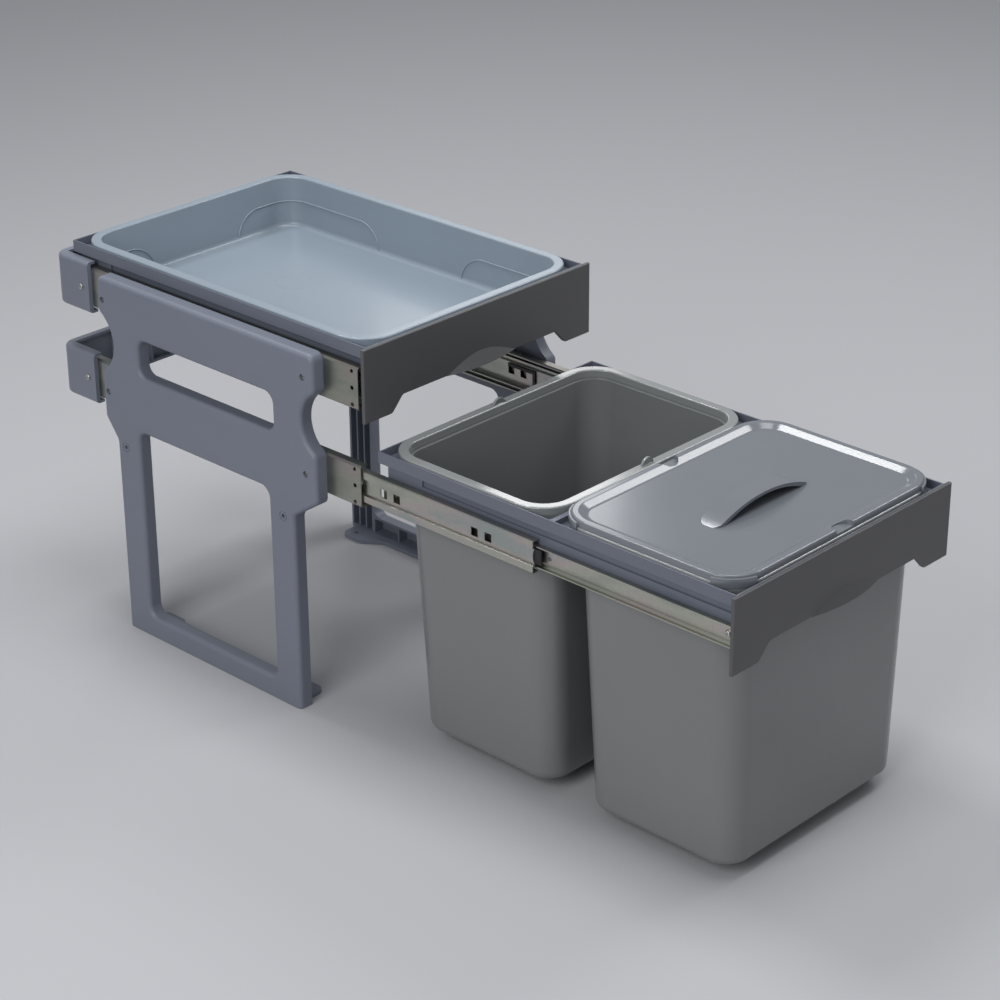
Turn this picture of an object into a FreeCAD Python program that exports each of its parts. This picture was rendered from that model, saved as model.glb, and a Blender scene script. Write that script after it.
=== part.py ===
import FreeCAD, Part
import math
import os
import re
import Sketcher
from FreeCAD import Placement, Rotation, Vector

# Pull-out waste bin: two moulded side panels screwed to a cabinet floor carry two drawers, one above
# the other, on ball-bearing slides. The lower drawer holds two bins, the front one with a lid, and the
# upper drawer a tray. The lower drawer stands pulled right out and the upper one is pushed in.
# +X right, +Y to the back of the cabinet, +Z up. The origin is on the floor, amid the foot screws.

# Driving sizes in millimetres and degrees
SIZES = {
    # whole unit
    "overall_width": 360.0,
    "upper_top": 430.0,
    "tier_drop": 105.5,
    "front_reach": 235.0,
    "frame_length": 455.0,
    "over_travel": 15.0,
    # side panels
    "panel_depth": 16.0,
    "panel_skin": 3.0,
    "panel_below": 18.0,
    "panel_corner": 8.0,
    "panel_edge": 5.0,
    "shoulder_setback": 59.0,
    "shoulder_gap": 27.0,
    "foot_inset": 27.0,
    "leg_width": 37.0,
    "bar_height": 24.0,
    "window_drop": 34.5,
    "window_corner": 12.0,
    "waist_drop": 30.5,
    "waist_slope": 24.0,
    "scoop_half": 33.5,
    "scoop_rise": 4.0,
    "scoop_bow": 4.5,
    "slot_margin": 62.0,
    "slot_height": 42.0,
    "slot_corner": 12.0,
    "rib": 2.0,
    "cell_gap": 17.0,
    "bar_cells": 5.0,
    "flange_thick": 4.0,
    "flange_reach": 28.0,
    "flange_strip": 11.0,
    "tongue_inset": 10.0,
    "tongue_width": 32.0,
    "tongue_slant": 24.0,
    "tongue_corner": 9.0,
    "foot_screw_inset": 16.0,
    "foot_screw_back": 24.0,
    "foot_hole_radius": 2.75,
    "wall_screw_back": 15.0,
    "wall_screw_drop": 28.0,
    "wall_hole_radius": 2.25,
    "wall_ring_radius": 5.5,
    "wall_ring_width": 1.0,
    "wall_ring_depth": 0.6,
    "panel_screw_front": 14.5,
    "panel_screw_rear": 9.0,
    # slides
    "slide_depth": 12.7,
    "slide_height": 45.5,
    "slide_setback": 10.0,
    "slide_short": 5.0,
    "slide_drop": 44.0,
    "steel": 1.2,
    "outer_reach": 11.0,
    "outer_lip": 2.4,
    "bend": 2.0,
    "ball_radius": 2.0,
    "ball_play": 0.28,
    "ball_slack": 0.1,
    "web_gap": 1.2,
    "mid_web": 5.0,
    "mid_web_half": 8.5,
    "mid_reach": 10.2,
    "mid_setback": 2.5,
    "mid_short": 22.0,
    "inner_reach": 6.7,
    "inner_advance": 2.0,
    "inner_short": 4.0,
    "cage_length": 150.0,
    "cage_steel": 0.6,
    "cage_reach": 7.0,
    "ball_count": 4.0,
    "slide_hole_radius": 2.2,
    "end_hole_inset": 8.5,
    "end_hole_spread": 18.0,
    "slot_wide": 9.0,
    "slot_first": 56.0,
    "slot_pair": 18.0,
    "slot_pitch": 124.0,
    "slot_groups": 3.0,
    "stop_thick": 2.0,
    "stop_half": 8.0,
    "stop_length": 22.0,
    "stop_out": 7.0,
    "latch_length": 40.0,
    "latch_bar": 3.5,
    "latch_rear": 138.0,
    # rear crossbars
    "crossbar_over": 6.25,
    "crossbar_wall": 5.0,
    "crossbar_gap": 12.0,
    "crossbar_arm": 57.0,
    "crossbar_lip": 11.0,
    "crossbar_lip_thick": 3.0,
    "crossbar_corner": 14.0,
    "crossbar_edge": 4.5,
    "crossbar_ribs": 5.0,
    "crossbar_screw": 12.0,
    # drawer frames
    "frame_below": 8.0,
    "frame_wall": 3.0,
    "rim_overhang": 6.7,
    "rim_height": 12.5,
    "rim_wall": 1.5,
    "rim_soft": 0.5,
    "rear_step": 6.5,
    "ledge_thick": 3.0,
    "groove_low": 24.0,
    "groove_depth": 2.0,
    "groove_rear": 47.5,
    "divider_width": 6.0,
    "divider_height": 6.0,
    "inner_screw_front": 8.0,
    "inner_screw_back": 16.0,
    # front panels
    "front_inset": 15.0,
    "front_thick": 4.0,
    "front_height": 62.0,
    "front_leg_drop": 78.0,
    "front_leg_width": 38.0,
    "front_leg_slant": 15.0,
    "front_corner": 6.0,
    "front_edge": 1.0,
    "lip_chord": 100.0,
    "lip_reach": 7.0,
    "lip_height": 14.0,
    "lip_wall": 1.8,
    "front_screw_side": 21.0,
    "front_screw_in": 50.0,
    "front_screw_drop": 32.0,
    # tray and bins
    "vessel_clear": 0.7,
    "seat_clear": 0.8,
    "rim_stand": 2.0,
    "rim_lap": 8.8,
    "rim_skirt": 2.0,
    "rim_sheet": 2.2,
    "rim_edge": 1.6,
    "vessel_wall": 2.2,
    "vessel_corner": 40.0,
    "tray_drop": 58.0,
    "tray_draft": 3.5,
    "tray_round": 8.0,
    "tray_step": 1.5,
    "tray_step_soft": 1.2,
    "tray_step_inset": 14.0,
    "tray_step_corner": 22.0,
    "bin_floor_gap": 14.0,
    "mouth_depth": 7.5,
    "mouth_step": 3.0,
    "side_taper": 10.5,
    "front_taper": 1.0,
    "rear_taper": 12.0,
    "bin_round": 10.0,
    # lid
    "lid_inset": 1.5,
    "lid_height": 7.0,
    "lid_corner": 38.0,
    "lid_sheet": 2.5,
    "lid_band": 7.0,
    "lid_slope": 8.0,
    "lid_soft": 2.0,
    "lid_dish": 5.0,
    "notch_radius": 13.0,
    "notch_offset": 5.0,
    "lid_plug": 6.0,
    "lid_plug_clear": 0.8,
    "handle_length": 140.0,
    "handle_width": 24.0,
    "handle_rise": 15.0,
    "handle_thick": 3.0,
    "handle_corner": 9.0,
    "handle_shift": 10.0,
    "handle_offset": 5.0,
    # screws
    "screw_radius": 2.0,
    "screw_play": 0.1,
    "screw_head_radius": 3.4,
    "screw_head": 2.2,
    "screw_sink": 4.0,
}

# Formulas worked out from the driving sizes
FORMULAS = {
    "outer_x": "overall_width / 2",
    "web_x": "outer_x - panel_depth",
    "wall_x": "web_x - slide_depth",
    "rim_x": "wall_x + rim_overhang",
    "front_y": "-front_reach",
    "slide_length": "frame_length - slide_short",
    "mid_length": "slide_length - mid_short",
    "inner_length": "slide_length - inner_short",
    "drawer_travel": "slide_length + over_travel",
    "slide_front": "front_y + slide_setback",
    "slide_rear": "slide_front + slide_length",
    "mid_front": "slide_front + mid_setback",
    "mid_rear": "mid_front + mid_length",
    "inner_front": "slide_front - inner_advance",
    "inner_rear": "inner_front + inner_length",
    "upper_axis": "upper_top - slide_drop",
    "lower_axis": "upper_axis - tier_drop",
    "lower_top": "upper_top - tier_drop",
    "tier_middle": "(upper_axis + lower_axis) / 2",
    "panel_top": "upper_top - panel_below",
    "shoulder_front": "front_reach - shoulder_setback",
    "shoulder_rear": "crossbar_front - shoulder_gap",
    "foot_half": "(shoulder_front + shoulder_rear) / 2 - foot_inset",
    "waist_high": "lower_axis - waist_drop",
    "waist_low": "waist_high - waist_slope",
    "window_top": "lower_axis - window_drop",
    "scoop_low": "tier_middle + scoop_rise - scoop_half",
    "scoop_high": "tier_middle + scoop_rise + scoop_half",
    "scoop_radius": "scoop_half + scoop_bow",
    "slot_middle": "(shoulder_rear - shoulder_front) / 2",
    "slot_half": "(shoulder_rear + shoulder_front) / 2 - slot_margin",
    "slot_bottom": "tier_middle - slot_height / 2",
    "wall_screw_y": "foot_half - wall_screw_back",
    "wall_screw_z": "waist_high - wall_screw_drop",
    "cell_top": "wall_screw_z - cell_gap",
    "tongue_outer": "foot_half - tongue_inset",
    "tongue_inner": "tongue_outer - tongue_width",
    "foot_screw_y": "foot_half - foot_screw_back",
    "leg_inner": "foot_half - leg_width",
    "cell_width": "(leg_width - 2 * panel_skin - 2 * rib) / 3",
    "panel_screw_y_front": "panel_screw_front - shoulder_front",
    "panel_screw_y_rear": "shoulder_rear - panel_screw_rear",
    "outer_half": "slide_height / 2",
    "outer_track": "outer_half - steel",
    "outer_ball": "outer_track - ball_play - ball_radius",
    "mid_half": "outer_ball - ball_radius - ball_play",
    "mid_track": "mid_half - steel",
    "inner_ball": "mid_track - ball_play - ball_radius",
    "inner_half": "inner_ball - ball_radius - ball_play",
    "mid_band": "steel + web_gap",
    "inner_web": "slide_depth - steel",
    "ball_line": "(mid_band + mid_reach) / 2",
    "latch_start": "mid_length - latch_rear",
    "cage_slip": "(web_gap - cage_steel) / 2",
    "crossbar_height": "slide_height + 2 * crossbar_over",
    "crossbar_back": "slide_rear + crossbar_gap + crossbar_wall",
    "crossbar_front": "crossbar_back - crossbar_arm",
    "crossbar_x": "web_x + crossbar_wall",
    "crossbar_screw_y": "crossbar_front + crossbar_screw",
    "frame_drop": "slide_drop + frame_below",
    "front_half": "outer_x - front_inset",
    "front_screw_out": "wall_x - front_screw_side",
    "inner_screw_rear": "inner_length - inner_screw_back",
    "frame_front": "front_y + front_thick",
    "frame_rear": "front_y + frame_length",
    "frame_step": "frame_rear - rear_step",
    "well_x": "rim_x - rim_wall",
    "well_front": "frame_front + rim_wall",
    "well_rear": "frame_rear - rim_wall",
    "ledge_top": "ledge_thick - rim_height",
    "vessel_x": "well_x - vessel_clear",
    "vessel_front": "well_front + vessel_clear",
    "vessel_rear": "well_rear - vessel_clear",
    "bin_length": "(well_rear - well_front - divider_width) / 2 - 2 * vessel_clear",
    "divider_middle": "(well_front + well_rear) / 2",
    "body_x": "vessel_x - rim_lap",
    "seat_x": "body_x + seat_clear",
    "body_corner": "vessel_corner - rim_lap",
    "seat_corner": "body_corner + seat_clear",
    "bin_drop": "lower_top - bin_floor_gap",
    "bin_corner": "body_corner - mouth_step",
    "tray_floor_lap": "rim_lap + vessel_wall + (tray_drop + rim_stand) * tan(tray_draft) + tray_step_inset",
    "front_bin_middle": "vessel_front + bin_length / 2",
    "lid_x": "vessel_x - lid_inset",
    "lid_half": "bin_length / 2 - lid_inset",
    "plug_x": "body_x - vessel_wall - lid_plug_clear",
    "plug_half": "bin_length / 2 - rim_lap - vessel_wall - lid_plug_clear",
    "plug_corner": "body_corner - vessel_wall - lid_plug_clear",
    "handle_y": "front_bin_middle - handle_shift",
    "hole_radius": "screw_radius + screw_play",
}

doc = FreeCAD.newDocument("PullOutBin")
sheet = doc.addObject("Spreadsheet::Sheet", "Sizes")
for row, (alias, number) in enumerate(SIZES.items(), 1):
    sheet.set(f"A{row}", alias)
    sheet.set(f"B{row}", str(number))
    sheet.setAlias(f"B{row}", alias)
doc.recompute()

sub_parts = []


def bind(text):
    """Formula text with every named size written out as cells of the sheet."""
    def cell(match):
        word = match.group(0)
        if word in FORMULAS:
            return "(" + bind(FORMULAS[word]) + ")"
        if word in SIZES:
            return "Sizes." + word
        return word
    return re.sub(r"[a-z]\w*", cell, text)


def value(text):
    """The number that a formula stands for."""
    return float(sheet.evalExpression(bind(text)))


def new_body(name):
    body = doc.addObject("PartDesign::Body", name)
    body.Label = name
    body.AllowCompound = True
    sub_parts.append(body)
    return body


def place(body, x="0", y="0", z="0", half_turn=False):
    """Stand a body at a point, turned half way round its long axis where asked."""
    if half_turn:
        body.Placement = Placement(Vector(), Rotation(Vector(0, 1, 0), 180))
    body.setExpression("Placement.Base.x", bind(x))
    body.setExpression("Placement.Base.y", bind(y))
    body.setExpression("Placement.Base.z", bind(z))


def new_sketch(body, role, level="0"):
    """Sketch on one of the body's own planes, moved along the plane's normal."""
    sketch = body.newObject("Sketcher::SketchObject", "Sketch")
    plane = next(item for item in body.Origin.OriginFeatures if item.Role == role)
    sketch.AttachmentSupport = [(plane, "")]
    sketch.MapMode = "FlatFace"
    sketch.setExpression("AttachmentOffset.Base.z", bind(level))
    return sketch


def fix_point(sketch, item, end, point):
    """Tie a point of the sketch to its two formulas."""
    for kind, axis, text in (("DistanceX", -2, point[0]), ("DistanceY", -1, point[1])):
        number = value(text)
        if text == "0":
            sketch.addConstraint(Sketcher.Constraint("PointOnObject", item, end, axis))
        else:
            index = sketch.addConstraint(Sketcher.Constraint(kind, -1, 1, item, end, number))
            sketch.setExpression(f"Constraints[{index}]", bind(text))


def arc_middle(start, finish, radius, turn):
    """Middle of the short arc between two points; turn is 1 for a left turn and -1 for a right one."""
    chord = finish - start
    half = chord.Length / 2
    rise = radius - math.sqrt(max(radius * radius - half * half, 0.0))
    across = Vector(chord.y, -chord.x, 0).normalize()
    return (start + finish) * 0.5 + across * (rise * turn)


def outline(sketch, points):
    """Closed outline. A point is (across, up), or (across, up, radius, turn) where an arc leaves it."""
    first = sketch.GeometryCount
    count = len(points)
    corners = [Vector(value(point[0]), value(point[1]), 0) for point in points]
    heads = []
    tails = []
    for index, point in enumerate(points):
        start = corners[index]
        finish = corners[(index + 1) % count]
        if len(point) == 2:
            sketch.addGeometry(Part.LineSegment(start, finish), False)
            turn = 1
        else:
            turn = point[3]
            middle = arc_middle(start, finish, value(point[2]), turn)
            ends = (start, finish) if turn > 0 else (finish, start)
            sketch.addGeometry(Part.Arc(ends[0], middle, ends[1]), False)
        heads.append(1 if turn > 0 else 2)
        tails.append(2 if turn > 0 else 1)
    for index, point in enumerate(points):
        after = (index + 1) % count
        sketch.addConstraint(
            Sketcher.Constraint("Coincident", first + index, tails[index], first + after, heads[after]))
        fix_point(sketch, first + index, heads[index], point)
        if len(point) > 2:
            number = value(point[2])
            at = sketch.addConstraint(Sketcher.Constraint("Radius", first + index, number))
            sketch.setExpression(f"Constraints[{at}]", bind(point[2]))


def rectangle(sketch, left, low, right, high):
    outline(sketch, [(left, low), (right, low), (right, high), (left, high)])


def rounded(sketch, left, low, right, high, corner):
    """Rectangle with four round corners."""
    outline(sketch, [
        (f"{left} + ({corner})", low),
        (f"{right} - ({corner})", low, corner, 1),
        (right, f"{low} + ({corner})"),
        (right, f"{high} - ({corner})", corner, 1),
        (f"{right} - ({corner})", high),
        (f"{left} + ({corner})", high, corner, 1),
        (left, f"{high} - ({corner})"),
        (left, f"{low} + ({corner})", corner, 1),
    ])


def circles(sketch, places, radius):
    for point in places:
        centre = Vector(value(point[0]), value(point[1]), 0)
        item = sketch.addGeometry(Part.Circle(centre, Vector(0, 0, 1), value(radius)), False)
        fix_point(sketch, item, 3, point)
        at = sketch.addConstraint(Sketcher.Constraint("Radius", item, value(radius)))
        sketch.setExpression(f"Constraints[{at}]", bind(radius))


def pad(body, sketch, length, reverse=False, taper=None):
    feature = body.newObject("PartDesign::Pad", "Pad")
    feature.Profile = sketch
    feature.setExpression("Length", bind(length))
    feature.Reversed = reverse
    if taper:
        feature.setExpression("TaperAngle", bind(taper))
    doc.recompute()
    return feature


def pocket(body, sketch, depth, reverse=False, taper=None):
    """Cut a sketch into the body and make sure that it took something away."""
    before = body.Shape.Volume
    feature = body.newObject("PartDesign::Pocket", "Pocket")
    feature.Profile = sketch
    feature.setExpression("Length", bind(depth))
    feature.Reversed = reverse
    if taper:
        feature.setExpression("TaperAngle", bind(taper))
    doc.recompute()
    if body.Shape.Volume > before - 1e-3:
        raise RuntimeError(f"{body.Label}: a pocket cut nothing")
    return feature


def fillet(body, radius, chosen):
    """Round the edges that the test picks."""
    base = body.Tip
    names = [f"Edge{number}" for number, edge in enumerate(base.Shape.Edges, 1) if chosen(edge)]
    feature = body.newObject("PartDesign::Fillet", "Fillet")
    feature.Base = (base, names)
    feature.setExpression("Radius", bind(radius))
    doc.recompute()
    return feature


def runs_along(edge, axis):
    """True for a straight edge along an axis."""
    if not isinstance(edge.Curve, (Part.Line, Part.LineSegment)):
        return False
    return abs(edge.tangentAt(edge.FirstParameter).dot(axis)) > 0.999


def lies_at(edge, axis, level):
    """True for an edge that keeps to one level of an axis."""
    box = edge.BoundBox
    spans = {"x": (box.XMin, box.XMax), "y": (box.YMin, box.YMax), "z": (box.ZMin, box.ZMax)}
    low, high = spans[axis]
    return abs(low - level) < 0.01 and abs(high - level) < 0.01


X_AXIS = Vector(1, 0, 0)
Z_AXIS = Vector(0, 0, 1)
SIDES = (("left", -1), ("right", 1))
TIERS = ("upper", "lower")


def side_panel(side, sign):
    """Moulded panel: shoulders for the slides, two legs, a floor bar and a screw flange."""
    body = new_body(f"side_panel_{side}")
    outer = "outer_x" if sign > 0 else "-outer_x"
    inner = "web_x" if sign > 0 else "-web_x"
    low_face = inner if sign > 0 else outer

    shell = new_sketch(body, "YZ_Plane", low_face)
    outline(shell, [
        ("-foot_half", "0"),
        ("foot_half", "0"),
        ("foot_half", "waist_low"),
        ("shoulder_rear", "waist_high"),
        ("shoulder_rear", "scoop_low", "scoop_radius", -1),
        ("shoulder_rear", "scoop_high"),
        ("shoulder_rear", "panel_top"),
        ("-shoulder_front", "panel_top"),
        ("-shoulder_front", "scoop_high", "scoop_radius", -1),
        ("-shoulder_front", "scoop_low"),
        ("-shoulder_front", "waist_high"),
        ("-foot_half", "waist_low"),
    ])
    pad(body, shell, "panel_depth")

    windows = new_sketch(body, "YZ_Plane", inner)
    rounded(windows, "slot_middle - slot_half", "slot_bottom",
            "slot_middle + slot_half", "slot_bottom + slot_height", "slot_corner")
    rounded(windows, "-leg_inner", "bar_height", "leg_inner", "window_top", "window_corner")
    pocket(body, windows, "panel_depth", sign > 0)

    floor_line = value("panel_corner")
    fillet(body, "panel_corner",
           lambda edge: runs_along(edge, X_AXIS) and edge.CenterOfMass.z > floor_line and on_outline(edge))
    face = value(outer)
    fillet(body, "panel_edge", lambda edge: lies_at(edge, "x", face) and edge.BoundBox.ZMax > 0.01)

    cells = new_sketch(body, "YZ_Plane", inner)
    for leg in ("-foot_half", "leg_inner"):
        for number in range(3):
            start = f"{leg} + panel_skin + {number} * (cell_width + rib)"
            rectangle(cells, start, "flange_thick", f"{start} + cell_width", "cell_top")
    span = "((2 * leg_inner - rib * (bar_cells + 1)) / bar_cells)"
    for number in range(round(value("bar_cells"))):
        start = f"rib - leg_inner + {number} * ({span} + rib)"
        rectangle(cells, start, "flange_thick", f"{start} + {span}", "bar_height - panel_skin")
    pocket(body, cells, "panel_depth - panel_skin", sign > 0)

    flange = new_sketch(body, "XY_Plane")
    root = f"{sign} * (web_x + panel_skin)"
    strip = f"{sign} * (web_x - flange_strip)"
    tip = f"{sign} * (web_x - flange_reach)"
    outline(flange, [
        (root, "-tongue_outer"),
        (tip, "-tongue_outer"),
        (tip, "-tongue_inner"),
        (strip, "tongue_slant - tongue_inner"),
        (strip, "tongue_inner - tongue_slant"),
        (tip, "tongue_inner"),
        (tip, "tongue_outer"),
        (root, "tongue_outer"),
    ])
    pad(body, flange, "flange_thick")
    bend_x = value("web_x")
    fillet(body, "tongue_corner",
           lambda edge: runs_along(edge, Z_AXIS) and edge.Length < value("flange_thick") + 0.01
           and abs(edge.CenterOfMass.x) < bend_x - 1)

    foot_holes = new_sketch(body, "XY_Plane", "flange_thick")
    foot_x = f"{sign} * (web_x - foot_screw_inset)"
    circles(foot_holes, [(foot_x, "-foot_screw_y"), (foot_x, "foot_screw_y")],
            "foot_hole_radius")
    pocket(body, foot_holes, "flange_thick")

    wall_places = [("-wall_screw_y", "wall_screw_z"), ("wall_screw_y", "wall_screw_z")]
    wall_holes = new_sketch(body, "YZ_Plane", outer)
    circles(wall_holes, wall_places, "wall_hole_radius")
    pocket(body, wall_holes, "panel_depth", sign < 0)
    wall_rings = new_sketch(body, "YZ_Plane", outer)
    circles(wall_rings, wall_places, "wall_ring_radius")
    circles(wall_rings, wall_places, "wall_ring_radius - wall_ring_width")
    pocket(body, wall_rings, "wall_ring_depth", sign < 0)

    screw_holes = new_sketch(body, "YZ_Plane", outer)
    circles(screw_holes, panel_screw_places(), "hole_radius")
    pocket(body, screw_holes, "panel_depth", sign < 0)
    screw_sinks = new_sketch(body, "YZ_Plane", outer)
    circles(screw_sinks, panel_screw_places(), "screw_head_radius + screw_play")
    pocket(body, screw_sinks, "screw_sink", sign < 0)


def on_outline(edge):
    """True for a corner of the panel's own outline, not of a window in it."""
    middle = edge.CenterOfMass
    inside_legs = abs(middle.y) < value("leg_inner + 1")
    return not inside_legs


def panel_screw_places():
    return [(across, up) for up in ("upper_axis", "lower_axis")
            for across in ("panel_screw_y_front", "panel_screw_y_rear")]


def panel_screws(side, sign):
    """Four screws that hold two slides to a panel, with their heads sunk in its outer face."""
    body = new_body(f"panel_screws_{side}")
    seat = f"{sign} * (outer_x - screw_sink)"
    heads = new_sketch(body, "YZ_Plane", seat)
    circles(heads, panel_screw_places(), "screw_head_radius")
    pad(body, heads, "screw_head", sign < 0)
    shanks = new_sketch(body, "YZ_Plane", seat)
    circles(shanks, panel_screw_places(), "screw_radius")
    pad(body, shanks, "panel_depth - screw_sink + steel", sign > 0)


def crossbar(tier):
    """Moulded channel across the back, open to the front, with arms that lap the slides."""
    body = new_body(f"rear_crossbar_{tier}")
    place(body, z=f"{tier}_axis")
    wall = new_sketch(body, "XY_Plane", "-crossbar_height / 2")
    crossbar_plan(wall, "crossbar_wall")
    pad(body, wall, "crossbar_height")
    for level in ("-crossbar_height / 2", "crossbar_height / 2 - crossbar_lip_thick"):
        lip = new_sketch(body, "XY_Plane", level)
        crossbar_plan(lip, "crossbar_lip")
        pad(body, lip, "crossbar_lip_thick")
    back = value("crossbar_back")
    side = value("crossbar_x")
    fillet(body, "crossbar_corner",
           lambda edge: runs_along(edge, Z_AXIS) and abs(edge.CenterOfMass.y - back) < 0.01
           and abs(abs(edge.CenterOfMass.x) - side) < 0.01)
    top = value("crossbar_height / 2")
    fillet(body, "crossbar_edge",
           lambda edge: abs(abs(edge.CenterOfMass.z) - top) < 0.01 and outside_crossbar(edge))
    ribs = new_sketch(body, "XY_Plane", "crossbar_lip_thick - crossbar_height / 2")
    pitch = "2 * (web_x - crossbar_lip) / (crossbar_ribs + 1)"
    for number in range(round(value("crossbar_ribs"))):
        middle = f"crossbar_lip - web_x + {number + 1} * {pitch}"
        rectangle(ribs, f"{middle} - rib / 2", "crossbar_back - crossbar_lip",
                  f"{middle} + rib / 2", "crossbar_back - crossbar_wall / 2")
    pad(body, ribs, "crossbar_height - 2 * crossbar_lip_thick")
    for reverse, start in ((True, "-crossbar_x"), (False, "crossbar_x")):
        holes = new_sketch(body, "YZ_Plane", start)
        circles(holes, [("crossbar_screw_y", "0")], "hole_radius")
        pocket(body, holes, "crossbar_wall", reverse)


def crossbar_plan(sketch, thick):
    """The crossbar's outline from above, with walls of a given thickness."""
    outline(sketch, [
        ("-crossbar_x", "crossbar_front"),
        (f"{thick} - crossbar_x", "crossbar_front"),
        (f"{thick} - crossbar_x", f"crossbar_back - {thick}"),
        (f"crossbar_x - {thick}", f"crossbar_back - {thick}"),
        (f"crossbar_x - {thick}", "crossbar_front"),
        ("crossbar_x", "crossbar_front"),
        ("crossbar_x", "crossbar_back"),
        ("-crossbar_x", "crossbar_back"),
    ])


def outside_crossbar(edge):
    """True for an edge on the outer boundary of the crossbar's top or bottom."""
    box = edge.BoundBox
    reach = value("crossbar_x - crossbar_corner")
    at_back = box.YMax > value("crossbar_back - crossbar_corner") + 0.01
    at_side = min(abs(box.XMin), abs(box.XMax)) > reach
    return (at_back and box.YMin > value("crossbar_back - crossbar_lip") + 0.01) or (
        at_side and abs(abs(edge.CenterOfMass.x) - value("crossbar_x")) < 0.01)


def crossbar_screws():
    """One screw through each arm of each crossbar into the slide beside it."""
    body = new_body("crossbar_screws")
    places = [("crossbar_screw_y", f"{tier}_axis") for tier in TIERS]
    for side, sign in SIDES:
        seat = f"{sign} * crossbar_x"
        heads = new_sketch(body, "YZ_Plane", seat)
        circles(heads, places, "screw_head_radius")
        pad(body, heads, "screw_head", sign < 0)
        shanks = new_sketch(body, "YZ_Plane", seat)
        circles(shanks, places, "screw_radius")
        pad(body, shanks, "crossbar_wall + steel", sign > 0)


def channel(points):
    """Section that is the same above and below its middle, from its upper half."""
    lower = [(across, f"-({up})") for across, up in reversed(points)]
    return points + lower


def stand_slide_piece(body, tier, sign, start, shift):
    """Put a slide's piece on its panel, from a point along the slide, moved by its part of the travel."""
    out = f" - {shift} * drawer_travel" if tier == "lower" and shift else ""
    place(body, f"{sign} * web_x", start + out, f"{tier}_axis", sign > 0)


def slide_outer(tier, side, sign):
    """Outer member: a web on the panel and two flanges that hold the outer balls."""
    body = new_body(f"{tier}_{side}_slide_outer")
    section = new_sketch(body, "XZ_Plane")
    outline(section, channel([
        ("steel", "outer_track - bend"),
        ("steel + bend", "outer_track"),
        ("outer_reach - steel", "outer_track"),
        ("outer_reach - steel", "outer_half - outer_lip"),
        ("outer_reach", "outer_half - outer_lip"),
        ("outer_reach", "outer_half - bend / 2"),
        ("outer_reach - bend / 2", "outer_half"),
        ("bend", "outer_half"),
        ("0", "outer_half - bend"),
    ][::-1]))
    pad(body, section, "slide_length", True)
    holes = new_sketch(body, "YZ_Plane")
    circles(holes, [("panel_screw_y_front - slide_front", "0"), ("panel_screw_y_rear - slide_front", "0"),
                    ("crossbar_screw_y - slide_front", "0")], "hole_radius")
    circles(holes, [("end_hole_inset", "-end_hole_spread"), ("end_hole_inset", "0"),
                    ("end_hole_inset", "end_hole_spread")], "slide_hole_radius")
    pocket(body, holes, "steel", True)
    stand_slide_piece(body, tier, sign, "slide_front", 0)


def slide_mid(tier, side, sign):
    """Middle member: a recessed web between two bands, with tracks for both rows of balls."""
    body = new_body(f"{tier}_{side}_slide_middle")
    section = new_sketch(body, "XZ_Plane")
    outline(section, channel([
        ("mid_web", "mid_web_half - steel / 2"),
        ("mid_band", "mid_web_half + steel / 2"),
        ("mid_band", "mid_half - bend / 2"),
        ("mid_band + bend / 2", "mid_half"),
        ("mid_reach", "mid_half"),
        ("mid_reach", "mid_track"),
        ("mid_band + bend", "mid_track"),
        ("mid_band + steel", "mid_track + steel - bend"),
        ("mid_band + steel", "mid_web_half + 1.5 * steel"),
        ("mid_web + steel", "mid_web_half + steel / 2"),
    ])[::-1])
    pad(body, section, "mid_length", True)
    slots = new_sketch(body, "YZ_Plane", "mid_web - steel")
    for group in range(round(value("slot_groups"))):
        for pair in range(2):
            start = f"slot_first + {group} * slot_pitch + {pair} * slot_pair"
            rectangle(slots, start, "-slot_wide / 2", f"{start} + slot_wide", "slot_wide / 2")
    outline(slots, [("-steel", "-stop_half"), ("0", "-stop_half", "2 * stop_half", 1),
                    ("0", "stop_half"), ("-steel", "stop_half")])
    pocket(body, slots, "3 * steel", True)
    stand_slide_piece(body, tier, sign, "mid_front", 0.5)


def slide_stops(tier, side, sign):
    """Plastic end stop and latch on the inner face of the middle member's web."""
    body = new_body(f"{tier}_{side}_slide_stops")
    stop = new_sketch(body, "YZ_Plane", "mid_web + steel")
    rectangle(stop, "-stop_out", "-stop_half", "stop_length - stop_out", "stop_half")
    outline(stop, [
        ("latch_start", "-stop_half"),
        ("latch_start + latch_length", "-stop_half"),
        ("latch_start + latch_length", "latch_bar - stop_half"),
        ("latch_start + latch_bar", "latch_bar - stop_half"),
        ("latch_start + latch_bar", "stop_half"),
        ("latch_start", "stop_half"),
    ])
    pad(body, stop, "stop_thick")
    stand_slide_piece(body, tier, sign, "mid_front", 0.5)


def slide_inner(tier, side, sign):
    """Inner member: a web screwed to the drawer's wall and two flanges that run on the inner balls."""
    body = new_body(f"{tier}_{side}_slide_inner")
    section = new_sketch(body, "XZ_Plane")
    outline(section, channel([
        ("slide_depth", "inner_half - bend"),
        ("slide_depth - bend", "inner_half"),
        ("slide_depth - inner_reach", "inner_half"),
        ("slide_depth - inner_reach", "inner_half - steel"),
        ("inner_web - bend", "inner_half - steel"),
        ("inner_web", "inner_half - steel - bend"),
    ]))
    pad(body, section, "inner_length", True)
    holes = new_sketch(body, "YZ_Plane", "inner_web")
    circles(holes, [("inner_screw_front", "0"), ("inner_screw_rear", "0")], "hole_radius")
    circles(holes, [("inner_length / 2", "0")], "slide_hole_radius")
    pocket(body, holes, "steel", True)
    stand_slide_piece(body, tier, sign, "inner_front", 1)


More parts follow.
